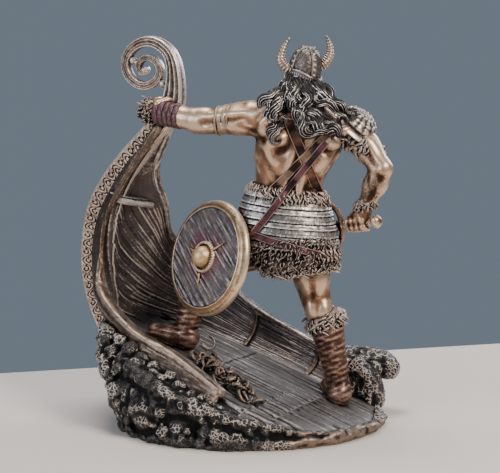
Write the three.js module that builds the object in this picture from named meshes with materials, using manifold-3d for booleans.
// Cast figurine: a northern warrior stands in the bow of a longship that rides on a wave.
// All sizes are millimetres. +X is the viewer's right, +Y is away from the viewer, +Z is up.
// The origin lies on the underside, at the middle of the oval foot of the wave.
import * as THREE from 'three';
import { mergeVertices } from 'three/addons/utils/BufferGeometryUtils.js';
import Module from 'manifold-3d';

const wasm = await Module();
wasm.setup();

// Driving sizes of the whole figurine
const FOOT_HALF_WIDTH = 88;
const FOOT_HALF_DEPTH = 74;
const SEAT_GAP = 0.3;
const RIM_SIDES = 18;

// The ship leans back in the wave: its own axes run to the bow, to the near side and up
const SHIP_YAW = THREE.MathUtils.degToRad(30);
const SHIP_PITCH = THREE.MathUtils.degToRad(17.5);
const DECK_RISE = 31;
const KEEL_SIDE = 3;
const PLANK_THICKNESS = 4.2;
const DECK_REACH = 400;

const toBow = new THREE.Vector3(
  -Math.cos(SHIP_YAW) * Math.cos(SHIP_PITCH),
  Math.sin(SHIP_YAW) * Math.cos(SHIP_PITCH),
  Math.sin(SHIP_PITCH),
);
const toNearSide = new THREE.Vector3(-Math.sin(SHIP_YAW), -Math.cos(SHIP_YAW), 0);
const offDeck = new THREE.Vector3().crossVectors(toBow, toNearSide);
const shipFrame = new THREE.Matrix4()
  .makeBasis(toBow, toNearSide, offDeck)
  .setPosition(0, 0, DECK_RISE);

// A point given along the keel, to the near side and off the deck
function onShip(along, side, up) {
  return new THREE.Vector3(along, side, up).applyMatrix4(shipFrame);
}

function vectors(triples) {
  return triples.map(([x, y, z]) => new THREE.Vector3(x, y, z));
}

function smoothLine(triples) {
  return new THREE.CatmullRomCurve3(vectors(triples), false, 'centripetal');
}

function smoothstep(low, high, x) {
  return THREE.MathUtils.smoothstep(x, low, high);
}

// Volume by the divergence theorem; it is negative when the faces point inward
function signedVolume(points, triangles) {
  let sum = 0;
  for (let i = 0; i < triangles.length; i += 3) {
    const [a, b, c] = [triangles[i], triangles[i + 1], triangles[i + 2]].map((k) =>
      new THREE.Vector3().fromArray(points, 3 * k));
    sum += a.dot(b.cross(c));
  }
  return sum / 6;
}

// A closed geometry becomes a solid with its faces turned outward
function toSolid(geometry, matrix = new THREE.Matrix4()) {
  const plain = geometry.clone().applyMatrix4(matrix);
  plain.deleteAttribute('normal');
  plain.deleteAttribute('uv');
  const merged = mergeVertices(plain, 1e-4);
  const points = new Float32Array(merged.attributes.position.array);
  const kept = [];
  const index = merged.index.array;
  for (let i = 0; i < index.length; i += 3) {
    const [a, b, c] = [index[i], index[i + 1], index[i + 2]];
    if (a !== b && b !== c && c !== a) kept.push(a, b, c);
  }
  if (signedVolume(points, kept) < 0) kept.reverse();
  const mesh = new wasm.Mesh({
    numProp: 3,
    vertProperties: points,
    triVerts: new Uint32Array(kept),
  });
  return new wasm.Manifold(mesh);
}

function joined(solids) {
  return solids.reduce((whole, solid) => whole.add(solid));
}

function toGeometry(solid) {
  const mesh = solid.getMesh();
  const geometry = new THREE.BufferGeometry();
  geometry.setAttribute('position', new THREE.BufferAttribute(mesh.vertProperties, 3));
  geometry.setIndex(new THREE.BufferAttribute(mesh.triVerts, 1));
  geometry.computeVertexNormals();
  return geometry;
}

// Skin over rings of equal count, closed at both ends by a fan
function ringSkin(rings) {
  const count = rings[0].length;
  const last = (rings.length - 1) * count;
  const middle = (ring) => ring.reduce((sum, p) => sum.add(p), new THREE.Vector3())
    .divideScalar(count);
  const points = [...rings.flat(), middle(rings[0]), middle(rings[rings.length - 1])];
  const triangles = [];
  for (let i = 0; i < rings.length - 1; i += 1) {
    for (let j = 0; j < count; j += 1) {
      const k = (j + 1) % count;
      const [a, b] = [i * count + j, i * count + k];
      triangles.push(a, b, b + count, a, b + count, a + count);
    }
  }
  for (let j = 0; j < count; j += 1) {
    const k = (j + 1) % count;
    triangles.push(points.length - 2, k, j);
    triangles.push(points.length - 1, last + j, last + k);
  }
  const geometry = new THREE.BufferGeometry().setFromPoints(points);
  geometry.setIndex(triangles);
  return geometry;
}

// A plate between two grids of points, with its four edges closed
function plate(inner, outer) {
  const rows = inner.length;
  const columns = inner[0].length;
  const points = [...inner.flat(), ...outer.flat()];
  const far = rows * columns;
  const at = (i, j) => i * columns + j;
  const triangles = [];
  const quad = (a, b, c, d) => triangles.push(a, b, c, a, c, d);
  for (let i = 0; i < rows - 1; i += 1) {
    for (let j = 0; j < columns - 1; j += 1) {
      quad(at(i, j), at(i + 1, j), at(i + 1, j + 1), at(i, j + 1));
      quad(far + at(i, j), far + at(i, j + 1), far + at(i + 1, j + 1), far + at(i + 1, j));
    }
  }
  for (let i = 0; i < rows - 1; i += 1) {
    quad(at(i, 0), far + at(i, 0), far + at(i + 1, 0), at(i + 1, 0));
    quad(at(i, columns - 1), at(i + 1, columns - 1),
      far + at(i + 1, columns - 1), far + at(i, columns - 1));
  }
  for (let j = 0; j < columns - 1; j += 1) {
    quad(at(0, j), at(0, j + 1), far + at(0, j + 1), far + at(0, j));
    quad(at(rows - 1, j), far + at(rows - 1, j), far + at(rows - 1, j + 1), at(rows - 1, j + 1));
  }
  const geometry = new THREE.BufferGeometry().setFromPoints(points);
  geometry.setIndex(triangles);
  return geometry;
}

// A bar that tapers along a smooth line: horns, locks of hair, ropes
function taperedBar(line, radiusAt, sides, steps) {
  const frames = line.computeFrenetFrames(steps, false);
  const rings = [];
  for (let i = 0; i <= steps; i += 1) {
    const centre = line.getPointAt(i / steps);
    const radius = radiusAt(i / steps);
    rings.push(Array.from({ length: sides }, (_, j) => {
      const angle = (2 * Math.PI * j) / sides;
      return centre.clone()
        .addScaledVector(frames.normals[i], radius * Math.cos(angle))
        .addScaledVector(frames.binormals[i], radius * Math.sin(angle));
    }));
  }
  return toSolid(ringSkin(rings));
}

// A limb with round ends between two joints
function limb(from, to, fromRadius, toRadius, sides = 7) {
  const start = new THREE.Vector3(...from);
  const run = new THREE.Vector3(...to).sub(start);
  const length = run.length();
  const quarter = [0, 45, 90].map((degrees) => THREE.MathUtils.degToRad(degrees));
  const profile = [
    ...quarter.map((a) => new THREE.Vector2(fromRadius * Math.sin(a), -fromRadius * Math.cos(a))),
    ...quarter.reverse().map((a) =>
      new THREE.Vector2(toRadius * Math.sin(a), length + toRadius * Math.cos(a))),
  ];
  const turn = new THREE.Quaternion()
    .setFromUnitVectors(new THREE.Vector3(0, 1, 0), run.normalize());
  const matrix = new THREE.Matrix4().compose(start, turn, new THREE.Vector3(1, 1, 1));
  return toSolid(new THREE.LatheGeometry(profile, sides), matrix);
}

// A limb through several joints, each given as x, y, z and radius, with blunt ends
function limbThrough(joints, sides = 9) {
  const place = (joint) => new THREE.Vector3(...joint.slice(0, 3));
  const bluntEnd = (end, next) => {
    const away = place(end).sub(place(next)).normalize();
    return [...place(end).addScaledVector(away, 0.75 * end[3]).toArray(), 0.6 * end[3]];
  };
  const rows = [
    bluntEnd(joints[0], joints[1]), ...joints, bluntEnd(joints.at(-1), joints.at(-2)),
  ];
  const line = smoothLine(rows.map((row) => row.slice(0, 3)));
  const normal = new THREE.Vector3(0.3, 0.2, 0.93);
  const rings = rows.map((row, i) => {
    const run = line.getTangent(i / (rows.length - 1));
    normal.addScaledVector(run, -normal.dot(run)).normalize();
    const side = new THREE.Vector3().crossVectors(run, normal);
    return Array.from({ length: sides }, (_, j) => {
      const angle = (2 * Math.PI * j) / sides;
      return place(row)
        .addScaledVector(normal, row[3] * Math.cos(angle))
        .addScaledVector(side, row[3] * Math.sin(angle));
    });
  });
  return toSolid(ringSkin(rings));
}

function egg(centre, radii, turns = [0, 0, 0], around = 8, down = 5) {
  const angles = turns.map((degrees) => THREE.MathUtils.degToRad(degrees));
  const matrix = new THREE.Matrix4().compose(
    new THREE.Vector3(...centre),
    new THREE.Quaternion().setFromEuler(new THREE.Euler(...angles)),
    new THREE.Vector3(...radii),
  );
  return toSolid(new THREE.SphereGeometry(1, around, down), matrix);
}

// The planked sides of the bow. Inside, each side is stretched between its edge on the deck and
// its rail; outside, between the keel or stem and the same rail: along, side, up
const FAR_DECK_EDGE = smoothLine([
  [110, 3, 4], [108, 0, 2], [104, -5, 0], [94, -18, -1],
  [68, -36, -1], [30, -43.8, -1], [-8, -46, -1], [-46, -46, -1],
]);
const FAR_RAIL = smoothLine([
  [110.2, -1, 138.4], [114.4, -5, 106], [107.4, -16, 82.3], [105, -32, 57.5],
  [78, -56, 36], [36, -60.5, 22.5], [-6, -57.5, 19.7], [-44, -54.5, 18],
]);
const FAR_KEEL = smoothLine([
  [118, -0.4, 141], [136, -0.4, 106], [144, -0.4, 82], [145, -0.4, 56],
  [131, -0.4, 6], [92, -6, -24], [30, -18, -22], [-44, -34, -10],
]);
const NEAR_DECK_EDGE = smoothLine([
  [110.2, 3.5, 4.4], [109, 6, 2], [107, 9, 1], [103, 14, -1],
  [94, 21, -1], [68, 36, -1], [26, 44, -1], [-28, 55, -2],
]);
const NEAR_RAIL = smoothLine([
  [112.5, 8.5, 141.6], [127.3, 11, 92.9], [132, 14, 62.8], [125.6, 19, 40],
  [115.7, 25, 22.4], [76.5, 42, 12.1], [27.5, 49.6, 10], [-27.7, 58.6, 2],
]);
const NEAR_KEEL = smoothLine([
  [117.7, 6.3, 140], [139, 6.3, 92], [144, 6.3, 62], [141, 6.3, 36],
  [128, 6.3, 6], [84, 22, -12], [32, 38, -14], [-28, 52, -14],
]);
const STEM_HOLLOW = 17;
const SIDE_BELLY = 6;
const RAIL_RADIUS = 3.2;
const RAIL_PROUD = 0.4;

function insidePoint(deckEdge, rail, outward, u, v) {
  const belly = Math.sin(Math.PI * v);
  const atStem = 1 - smoothstep(0, 0.45, u);
  const point = deckEdge.getPoint(u).lerp(rail.getPoint(u), v);
  point.x += STEM_HOLLOW * belly * atStem;
  point.y += outward * SIDE_BELLY * belly * (1 - atStem);
  point.z -= 0.4 * SIDE_BELLY * belly * (1 - atStem);
  return point;
}

function outsidePoint(keel, rail, outward, u, v) {
  const belly = Math.sin(Math.PI * v);
  const awayFromStem = smoothstep(0.3, 0.6, u);
  const point = keel.getPoint(u).lerp(rail.getPoint(u), v);
  point.y += outward * (PLANK_THICKNESS + 1.6 * SIDE_BELLY * belly) * awayFromStem;
  point.x += 1.5 * (1 - awayFromStem);
  return point;
}

function plankedSide({ deckEdge, keel, rail, outward, steps, strakes }) {
  const grid = (pointAt) => Array.from({ length: steps + 1 }, (_, i) =>
    Array.from({ length: strakes + 1 }, (__, j) => pointAt(i / steps, j / strakes)));
  const inner = grid((u, v) => insidePoint(deckEdge, rail, outward, u, v));
  const outer = grid((u, v) => outsidePoint(keel, rail, outward, u, v));
  return toSolid(plate(inner, outer), shipFrame);
}

function railBar(rail, steps, radius) {
  const line = smoothLine(rail.points
    .map((p) => onShip(p.x + 0.1, p.y, p.z + RAIL_PROUD).toArray()));
  return taperedBar(line, () => radius, 6, steps);
}

// The stem post rises from the wave, leans back and rolls up into a spiral. The spiral shrinks
// by a steady share each turn, as a nautilus does
const SPIRAL_ALONG = 138.5;
const SPIRAL_UP = 171.5;
const SPIRAL_START = 161.5;
const SPIRAL_TURN = 540;
const SPIRAL_RADIUS = 28.6;
const SPIRAL_DECAY = 400;
const STEM_HALF_DEPTH = 4.6;
const STEM_HALF_WIDTH = 5;
const CURL_HALF_DEPTH = 1.9;
const CURL_HALF_WIDTH = 3.2;

const stemRise = [
  [104, -20], [120, -8], [131.5, 5], [140.5, 21], [146.5, 41.5], [148.5, 64],
  [144.8, 83.5], [135, 107.5], [121.5, 133], [114, 150], [111.3, 164],
];
const SPIRAL_POINTS = 18;
const spiral = Array.from({ length: SPIRAL_POINTS + 1 }, (_, i) => {
  const turned = (SPIRAL_TURN * i) / SPIRAL_POINTS;
  const angle = THREE.MathUtils.degToRad(SPIRAL_START - turned);
  const reach = SPIRAL_RADIUS * Math.exp(-turned / SPIRAL_DECAY) - 3.5 * Math.exp(-turned / 200);
  return [SPIRAL_ALONG + reach * Math.cos(angle), SPIRAL_UP + reach * Math.sin(angle)];
});
const stemLine = smoothLine([...stemRise, ...spiral].map(([along, up]) => [along, 0, up]));
const STEM_STEPS = 42;

function stemPost(grow) {
  const rings = [];
  for (let i = 0; i <= STEM_STEPS; i += 1) {
    const share = i / STEM_STEPS;
    const centre = stemLine.getPointAt(share);
    const run = stemLine.getTangentAt(share);
    const across = new THREE.Vector3(run.z, 0, -run.x);
    const curl = smoothstep(0.62, 0.95, share);
    const depth = THREE.MathUtils.lerp(STEM_HALF_DEPTH, CURL_HALF_DEPTH, curl) + grow;
    const width = THREE.MathUtils.lerp(STEM_HALF_WIDTH, CURL_HALF_WIDTH, curl) + grow;
    const corners = [[-1, -0.6], [-0.6, -1], [0.6, -1], [1, -0.6], [1, 0.6], [0.6, 1], [-0.6, 1],
      [-1, 0.6]];
    rings.push(corners.map(([a, b]) => {
      const point = centre.clone().addScaledVector(across, a * depth);
      return onShip(point.x, KEEL_SIDE + b * width, point.z);
    }));
  }
  return toSolid(ringSkin(rings));
}

function spiralEye() {
  const end = spiral[spiral.length - 1];
  const centre = onShip((end[0] + SPIRAL_ALONG) / 2, KEEL_SIDE, (end[1] + SPIRAL_UP) / 2);
  return egg(centre.toArray(), [4.6, 3.4, 4.6]);
}

// Small lugs tie the turns of the spiral together
function spiralLug(turned) {
  const angle = THREE.MathUtils.degToRad(SPIRAL_START - turned);
  const from = SPIRAL_RADIUS * Math.exp(-turned / SPIRAL_DECAY) - 3;
  const to = SPIRAL_RADIUS * Math.exp(-(turned + 360) / SPIRAL_DECAY);
  const end = (reach) => onShip(
    SPIRAL_ALONG + reach * Math.cos(angle), KEEL_SIDE, SPIRAL_UP + reach * Math.sin(angle),
  ).toArray();
  return limb(end(from), end(to), 1.8, 1.8, 8);
}

// The breasthook braces both sides just below the neck of the stem
function breasthook() {
  const HOOK_UP = 78;
  const HOOK_THICK = 5;
  const outline = new THREE.Shape([[133, 12], [104, -17], [107, -3], [118, 8]]
    .map(([along, side]) => new THREE.Vector2(along, side)));
  const slab = new THREE.ExtrudeGeometry(outline, { depth: HOOK_THICK, bevelEnabled: false });
  slab.translate(0, 0, HOOK_UP);
  return toSolid(slab, shipFrame);
}

// Ribs stand against the inside of the far planking
function rib(u) {
  const along = (v) => {
    const p = insidePoint(FAR_DECK_EDGE, FAR_RAIL, -1, u, v);
    return onShip(p.x, p.y, p.z).toArray();
  };
  const line = smoothLine([0.02, 0.35, 0.7, 1].map(along));
  return taperedBar(line, () => 1.5, 5, 5);
}

// Everything below the deck, as wide as the oval foot
function footBlock() {
  const oval = new THREE.Shape();
  oval.absellipse(0, 0, FOOT_HALF_WIDTH, FOOT_HALF_DEPTH, 0, 2 * Math.PI);
  const column = new THREE.ExtrudeGeometry(oval, {
    depth: 100, bevelEnabled: false, curveSegments: RIM_SIDES,
  });
  return toSolid(column).subtract(aboveDeck(0));
}

function aboveDeck(lift) {
  const slab = new THREE.BoxGeometry(DECK_REACH, DECK_REACH, DECK_REACH);
  slab.translate(0, 0, DECK_REACH / 2 + lift);
  return toSolid(slab, shipFrame);
}

// Foam heads stand around the foot wherever the deck doesn't run out to the rim.
// Each row: bearing in degrees from +X, share of the rim, top height, radius
const FOAM_HEADS = [
  [20, 0.93, 40, 19], [47, 0.92, 45, 19], [74, 0.9, 48, 19], [100, 0.9, 52, 20],
  [124, 0.95, 56, 20], [144, 1.0, 60, 18], [163, 1.0, 60, 18], [181, 0.97, 53, 17],
  [198, 0.96, 42, 17], [216, 0.95, 33, 17], [237, 0.94, 24, 15], [259, 0.94, 16, 12],
];

function foamHead([bearing, share, top, radius]) {
  const angle = THREE.MathUtils.degToRad(bearing);
  const reach = Math.min(radius, top);
  const centre = [
    share * (FOOT_HALF_WIDTH - 4) * Math.cos(angle),
    share * (FOOT_HALF_DEPTH - 4) * Math.sin(angle),
    top - reach,
  ];
  const lower = [centre[0] * 0.93, centre[1] * 0.93, radius * 0.4];
  return limb(centre, lower, reach, radius * 0.9, 6);
}

// The crest behind the right foot curls outward past the rim
function curlingCrest() {
  return joined([
    egg([84, 34, 34], [17, 13, 9.5], [0, -12, 12]),
    egg([96, 30, 30], [8.5, 10, 8]),
    egg([68, 38, 32], [16, 13, 12], [0, 0, 15]),
    egg([80, 20, 12], [13, 12, 12]),
  ]);
}

// A foam shoulder stands under the foot of the stem
function stemShoulder() {
  return joined([
    egg([-92, 8, 44], [12.5, 13, 12.5]),
    egg([-90, 30, 44], [15, 15, 15]),
    egg([-86, 47, 42], [17, 13, 16]),
    egg([-82, -12, 22], [13, 15, 17]),
  ]);
}

// The room inside the bow stays clear of foam: first above the deck boards
function bowRoom() {
  const edge = (line, shift) => Array.from({ length: 13 }, (_, i) => {
    const p = line.getPoint(i / 12);
    return new THREE.Vector2(p.x, p.y + shift);
  });
  const outline = new THREE.Shape([
    ...edge(FAR_DECK_EDGE, -1), new THREE.Vector2(-120, -46), new THREE.Vector2(-120, 40),
    new THREE.Vector2(-60, 44), ...edge(NEAR_DECK_EDGE, 1).slice(1).reverse(),
  ]);
  const room = new THREE.ExtrudeGeometry(outline, { depth: 60, bevelEnabled: false });
  room.translate(0, 0, -0.6);
  return toSolid(room, shipFrame);
}

// Then out to the far planking, which flares past the edge of the deck
function roomByFarSide() {
  const reach = 45;
  const grid = (shift) => Array.from({ length: 13 }, (_, i) =>
    Array.from({ length: 5 }, (__, j) => {
      const point = insidePoint(FAR_DECK_EDGE, FAR_RAIL, -1, i / 12, 1.25 * j / 4);
      point.y += shift;
      return point;
    }));
  return toSolid(plate(grid(-1.1), grid(reach)), shipFrame);
}

function belowFloor() {
  const slab = new THREE.BoxGeometry(DECK_REACH, DECK_REACH, 100);
  slab.translate(0, 0, -50);
  return toSolid(slab);
}

// Fillets of the casting where both sides meet the neck, and where the far side meets the foam
const NECK_FILLET = [-67.4, 30.8, 190.5];
const RAIL_END_FILLET = [58.8, 30.9, 21.4];

function buildLongship() {
  const wave = joined([...FOAM_HEADS.map(foamHead), curlingCrest(), stemShoulder()])
    .subtract(bowRoom())
    .subtract(roomByFarSide())
    .subtract(belowFloor());
  return joined([
    footBlock(),
    wave,
    plankedSide({
      deckEdge: FAR_DECK_EDGE, keel: FAR_KEEL, rail: FAR_RAIL, outward: -1, steps: 14, strakes: 4,
    }),
    plankedSide({
      deckEdge: NEAR_DECK_EDGE, keel: NEAR_KEEL, rail: NEAR_RAIL, outward: 1, steps: 14, strakes: 2,
    }),
    railBar(NEAR_RAIL, 14, RAIL_RADIUS),
    railBar(FAR_RAIL, 14, 0.75 * RAIL_RADIUS),
    stemPost(0),
    spiralEye(),
    spiralLug(172),
    spiralLug(-30),
    breasthook(),
    egg(NECK_FILLET, [4.5, 3.4, 7]),
    egg(RAIL_END_FILLET, [4.6, 4.6, 4]),
    rib(0.66),
    rib(0.86),
  ]).subtract(belowFloor());
}

// The warrior's joints: x, y, z, radius. Left and right are the warrior's own, seen from behind
const NECK = [35.5, 1, 216];
const LEFT_ARM = [
  [11, -7, 204.5, 13.5], [-2, -3, 204, 9.6], [-13, 0.5, 203.6, 8.4], [-22, 3, 203.5, 7.4],
  [-31, 6.5, 204.5, 7.8], [-45, 12, 206, 6.2],
];
const LEFT_HAND = [
  [-47, 13, 206.2, 6.8], [-59, 22, 208, 7.4], [-67, 30, 208.5, 6], [-61, 37, 209, 4.8],
];
const RIGHT_ARM = [
  [66, 5, 199, 12], [77, -5, 187, 9], [86, -14, 174, 7.2], [82.5, -12, 164, 7.5],
  [76, -9, 149, 5.2],
];
const RIGHT_HAND = [73, -7, 138];
const LEFT_LEG = [
  [12, 4, 121, 16], [-12, 16, 113, 14], [-31, 26, 106, 10.8], [-36.5, 26, 98, 10.4],
  [-37.5, 24, 86, 10.6], [-42, 21.5, 66, 8], [-44, 20, 57, 7.4],
];
const LEFT_FOOT = [[-43, 19.5, 54.5, 8], [-54, 22, 56, 7.6], [-64, 25, 57.5, 6.4]];
const RIGHT_LEG = [
  [38, 3, 118, 15.5], [41.5, 3.5, 98, 12], [44, 3.5, 85, 9.8], [47.5, 2, 75, 9.8],
  [52.5, 0, 62, 10.8], [57.5, 0, 38, 8.4], [59.5, 0, 25, 7.6],
];
const RIGHT_FOOT = [[61, -4, 19.5, 7], [58, 7, 21, 7.8], [54, 18, 22, 6.4]];

// Sections of the trunk from the crotch to the neck: centre, half width, half depth
const TRUNK = [
  [29, 1, 96, 20, 15], [28, 1, 112, 27, 18], [26, 1, 132, 28, 19], [24.5, 1, 150, 24, 16],
  [25.5, 1, 160, 22.5, 15], [27.5, 0, 170, 25, 17], [31, 0, 182, 30, 19.5],
  [34.5, -0.5, 194, 32, 20.5], [37, -0.5, 203, 30, 19], [37.5, 0, 210, 22, 15],
  [36.5, 0.5, 216, 11, 10],
];
// The plated apron flares from the waist in overlapping bands
const APRON_TOP = 156;
const APRON_BOTTOM = 118;
const APRON_BANDS = 5;
const APRON_TILT = -0.1;
const BAND_STEP = 1.6;
// The fur kilt hangs below it: centre, half width, half depth
const KILT = [
  [24, 1, 123, 33.5, 22], [26.5, 1, 112, 33, 23], [29.5, 1, 105, 31, 22], [30.5, 1, 100.5, 25, 18],
];
const TRUNK_SIDES = 14;

function ovalRing([x, y, z, halfWidth, halfDepth], tilt = 0) {
  return Array.from({ length: TRUNK_SIDES }, (_, j) => {
    const angle = (2 * Math.PI * j) / TRUNK_SIDES;
    const dx = halfWidth * Math.cos(angle);
    return new THREE.Vector3(x + dx, y + halfDepth * Math.sin(angle), z + tilt * dx);
  });
}

function trunk() {
  return toSolid(ringSkin(TRUNK.map((section) => ovalRing(section))));
}

function apron() {
  const rings = [];
  const drop = (APRON_TOP - APRON_BOTTOM) / APRON_BANDS;
  for (let band = 0; band < APRON_BANDS; band += 1) {
    for (const [share, step] of [[0, 0], [0.92, BAND_STEP]]) {
      const down = (band + share) / APRON_BANDS;
      const half = 26 + 9.5 * Math.sin(down * Math.PI * 0.5) + step;
      const height = APRON_TOP - drop * (band + share);
      rings.push(ovalRing([24.3 - 0.6 * down, 1, height, half, half * 0.66], APRON_TILT));
    }
  }
  return toSolid(ringSkin(rings));
}

function kilt() {
  return toSolid(ringSkin(KILT.map((section) => ovalRing(section, APRON_TILT))));
}

function furRing(centre, radii, turns) {
  return egg(centre, radii, turns, 9, 4);
}

function headAndHelmet() {
  return joined([
    limb(NECK, [35.5, 3, 228], 9, 8.5),
    egg([35, 6, 231], [9, 11, 13.5]),
    egg([36.2, 3.8, 240.5], [10.4, 12.6, 13.2], [8, 0, 15], 12, 7),
    egg([32, 15.5, 231], [2.2, 3.2, 3.4], [0, 0, 20]),
    egg([33, 13, 222.5], [6.5, 5.5, 8.5], [0, 0, 20]),
  ]);
}

function horn(points) {
  return taperedBar(smoothLine(points), (share) => 3.2 - 2.6 * share ** 1.4, 6, 8);
}

// Locks of hair leave the rim of the helmet and blow towards the warrior's right
const LOCKS = 6;

function hairLock(index) {
  const spread = index / (LOCKS - 1);
  const rootX = 27 + 18 * spread;
  const rootY = -5 - 3 * Math.sin(Math.PI * spread);
  const reach = THREE.MathUtils.lerp(-9, 24, spread);
  const fall = THREE.MathUtils.lerp(34, 14, spread);
  const line = smoothLine([
    [rootX, rootY + 3, 229],
    [rootX + 0.2 * reach, rootY - 6, 217],
    [rootX + 0.6 * reach, rootY - 12, 212 - 0.4 * fall],
    [rootX + reach, rootY - 13, 214 - fall],
  ]);
  return taperedBar(line, (share) => 4.6 - 2.6 * share, 6, 5);
}

function leftArm() {
  return joined([
    limbThrough(LEFT_ARM),
    limbThrough(LEFT_HAND, 7),
    furRing([-62, 24, 208], [7.5, 8.8, 9.2], [0, 0, 0]),
  ]);
}

// A shaped plate with fur below it covers the right shoulder
function rightArm() {
  return joined([
    limbThrough(RIGHT_ARM),
    furRing([75.5, -9, 147.5], [7, 6.6, 4.4], [0, 15, 0]),
    egg([68.5, 3, 202.5], [13.5, 13.5, 9.5], [0, 28, 0]),
    egg([73, -1, 191], [11.5, 12.5, 8.4], [0, 30, 0]),
    egg(RIGHT_HAND, [7.4, 7.8, 8]),
  ]);
}

function leftLeg() {
  return joined([
    limbThrough(LEFT_LEG),
    limbThrough(LEFT_FOOT, 7),
    furRing([-36.5, 25, 88], [13.2, 12.5, 6.8], [0, 0, 0]),
  ]);
}

function rightLeg() {
  return joined([
    limbThrough(RIGHT_LEG),
    limbThrough(RIGHT_FOOT, 7),
    furRing([51.3, 0.5, 69.5], [14.6, 13.4, 7.8], [0, 18, 0]),
  ]);
}

// The round shield hangs at the left hip, with its face turned back and to the left
const SHIELD_CENTRE = new THREE.Vector3(-30.5, -5, 114);
const SHIELD_FACING = new THREE.Vector3(-0.75, -0.612, 0.244).normalize();
const SHIELD_RADIUS = 38.8;
const SHIELD_THICKNESS = 8.5;
const BOSS_RADIUS = 7.5;
const BOSS_HEIGHT = 9;

function shieldDisc(grow) {
  const back = -SHIELD_THICKNESS;
  const r = SHIELD_RADIUS + grow;
  const face = grow;
  const profile = [
    [0, back - grow], [r - 5, back - grow], [r - 1, back + 1.8], [r, back + 3.6],
    [r - 1, face - 2.2], [r - 4.5, face], [BOSS_RADIUS + 4, face + 0.8],
    [BOSS_RADIUS + 3.4, face + 3], [BOSS_RADIUS, face + 3.4], [BOSS_RADIUS - 1.6, face + 6.8],
    [BOSS_RADIUS - 4.2, face + BOSS_HEIGHT - 0.7], [0, face + BOSS_HEIGHT],
  ].map(([radius, height]) => new THREE.Vector2(radius, height));
  const turn = new THREE.Quaternion()
    .setFromUnitVectors(new THREE.Vector3(0, 1, 0), SHIELD_FACING);
  const matrix = new THREE.Matrix4().compose(SHIELD_CENTRE, turn, new THREE.Vector3(1, 1, 1));
  return toSolid(new THREE.LatheGeometry(profile, 24), matrix);
}

// The sword is held at the right hip, with its blade across the front of the thighs
const GUARD = new THREE.Vector3(61.5, 4.5, 134);
const BLADE_WAY = new THREE.Vector3(-0.72, 0.67, -0.18).normalize();
const HILT_LENGTH = 30;
const BLADE_LENGTH = 74;
const BLADE_THICKNESS = 1.9;
const GRIP_RADIUS = 2.4;

function swordSolid(grow) {
  const flat = new THREE.Vector3().crossVectors(new THREE.Vector3(0, 0, 1), BLADE_WAY).normalize();
  const edge = new THREE.Vector3().crossVectors(BLADE_WAY, flat);
  const matrix = new THREE.Matrix4().makeBasis(flat, edge, BLADE_WAY).setPosition(GUARD);
  const grip = new THREE.CylinderGeometry(
    GRIP_RADIUS + grow, GRIP_RADIUS + grow, HILT_LENGTH, 8,
  ).rotateY(0.2).rotateX(Math.PI / 2).translate(0, 0, -HILT_LENGTH / 2);
  const pommel = new THREE.SphereGeometry(1, 10, 6)
    .scale(4.2 + grow, 4.2 + grow, 3 + grow).translate(0, 0, -HILT_LENGTH);
  const blade = new THREE.Shape([[0, -4], [BLADE_LENGTH - 9, -3], [BLADE_LENGTH, 0],
    [BLADE_LENGTH - 9, 3], [0, 4]].map(([x, y]) => new THREE.Vector2(x, y)));
  const bladeBody = new THREE.ExtrudeGeometry(blade, { depth: BLADE_THICKNESS, bevelEnabled: false })
    .translate(0, 0, -BLADE_THICKNESS / 2).rotateY(-Math.PI / 2);
  const crescent = [[0, -14.5, 7.5], [0, -9, 2.2], [0, 0.2, 0], [0, 9, 2.2], [0, 14.5, 7.5]];
  const guardLine = smoothLine(crescent
    .map((triple) => new THREE.Vector3(...triple).applyMatrix4(matrix).toArray()));
  return joined([
    toSolid(grip, matrix),
    toSolid(pommel, matrix),
    toSolid(bladeBody, matrix),
    taperedBar(guardLine, (share) => 1.2 + 1.4 * Math.sin(Math.PI * share) + grow, 6, 10),
  ]);
}

function buildWarrior() {
  return joined([
    trunk(), apron(), kilt(), headAndHelmet(), leftArm(), rightArm(), leftLeg(), rightLeg(),
    horn([[29, 2.5, 238.5], [22.5, 1, 239.5], [18.8, 0, 245.5], [21.8, 0, 253], [26.5, 1, 258.5]]),
    horn([[45, 5, 240.5], [52, 5, 242.5], [55, 5, 249.5], [53.6, 5, 256], [51, 5, 260]]),
    furRing([25, 1, 155], [28.5, 19, 6], [0, 6, 0]),
    ...Array.from({ length: LOCKS }, (_, index) => hairLock(index)),
    limb([20, -14, 208], [17, -21, 187], 5, 4, 7),
  ])
    .subtract(toSolid(new THREE.BoxGeometry(DECK_REACH, DECK_REACH, DECK_REACH)
      .translate(0, 0, SEAT_GAP - DECK_REACH / 2), shipFrame))
    .subtract(stemPost(SEAT_GAP))
    .subtract(railBar(NEAR_RAIL, 14, RAIL_RADIUS + SEAT_GAP))
    .subtract(railBar(FAR_RAIL, 14, 0.75 * RAIL_RADIUS + SEAT_GAP))
    .subtract(egg(onShip(...NEAR_RAIL.points[0].toArray()).toArray(), [5.6, 5.6, 5.6]))
    .subtract(shieldDisc(SEAT_GAP))
    .subtract(swordSolid(SEAT_GAP));
}

function castPiece(name, solid, color, roughness) {
  const material = new THREE.MeshStandardMaterial({ color, roughness, metalness: 0.7 });
  const mesh = new THREE.Mesh(toGeometry(solid), material);
  mesh.name = name;
  return mesh;
}

const figurine = new THREE.Group();
figurine.add(
  castPiece('longship_on_waves', buildLongship(), 0x5a4a3e, 0.55),
  castPiece('warrior', buildWarrior(), 0x9a754f, 0.42),
  castPiece('shield', shieldDisc(0), 0x6b4a3c, 0.5),
  castPiece('sword', swordSolid(0), 0x7d6a52, 0.4),
);

export default figurine;
